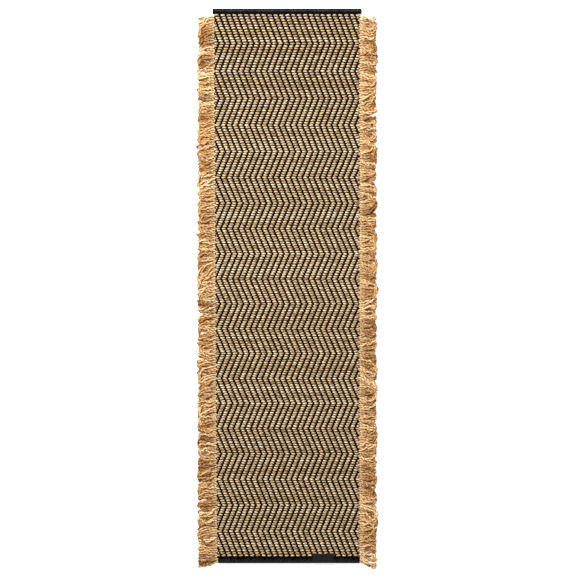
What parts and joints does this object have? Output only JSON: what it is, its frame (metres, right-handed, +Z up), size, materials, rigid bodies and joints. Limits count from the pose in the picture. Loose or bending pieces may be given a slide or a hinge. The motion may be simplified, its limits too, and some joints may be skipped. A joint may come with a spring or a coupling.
{
  "type": "runner rug",
  "caption": "Long narrow flat-woven jute and black cotton rug in a zigzag twill, with looped fringe down both long sides and black tape binding on both short ends.",
  "frame": {"origin": "on the floor under the middle of the rug: half of its overall length and half of its overall width across the fringe tips", "axes": "+X across the rug to the right as it is seen from above with the head end up, +Y along the rug to the head end, +Z up from the floor; the label end is the foot, at -Y"},
  "size_m": [0.8, 2.5, 0.0127],
  "materials": {
    "jute_and_cotton_weave": "matte natural jute weft over black cotton warp",
    "cotton_warp": "matte black cotton yarn",
    "jute_cord": "matte golden two-ply jute cord",
    "cotton_tape": "black woven cotton tape, low sheen",
    "sewing_thread": "black polyester sewing thread, slight sheen",
    "label_satin": "blank black woven satin"
  },
  "bodies": {
    "root": {"woven_field": "jute_and_cotton_weave", "selvedge_warp_left": "cotton_warp", "selvedge_warp_right": "cotton_warp", "fringe_left": "jute_cord", "fringe_right": "jute_cord", "head_binding": "cotton_tape", "head_seam_needle_thread": "sewing_thread", "head_seam_bobbin_thread": "sewing_thread", "head_lock_needle_thread": "sewing_thread", "head_lock_bobbin_thread": "sewing_thread", "foot_binding": "cotton_tape", "foot_seam_needle_thread": "sewing_thread", "foot_seam_bobbin_thread": "sewing_thread", "foot_lock_needle_thread": "sewing_thread", "foot_lock_bobbin_thread": "sewing_thread", "label": "label_satin", "label_thread_left": "sewing_thread", "label_thread_right": "sewing_thread"}
  },
  "joints": []
}
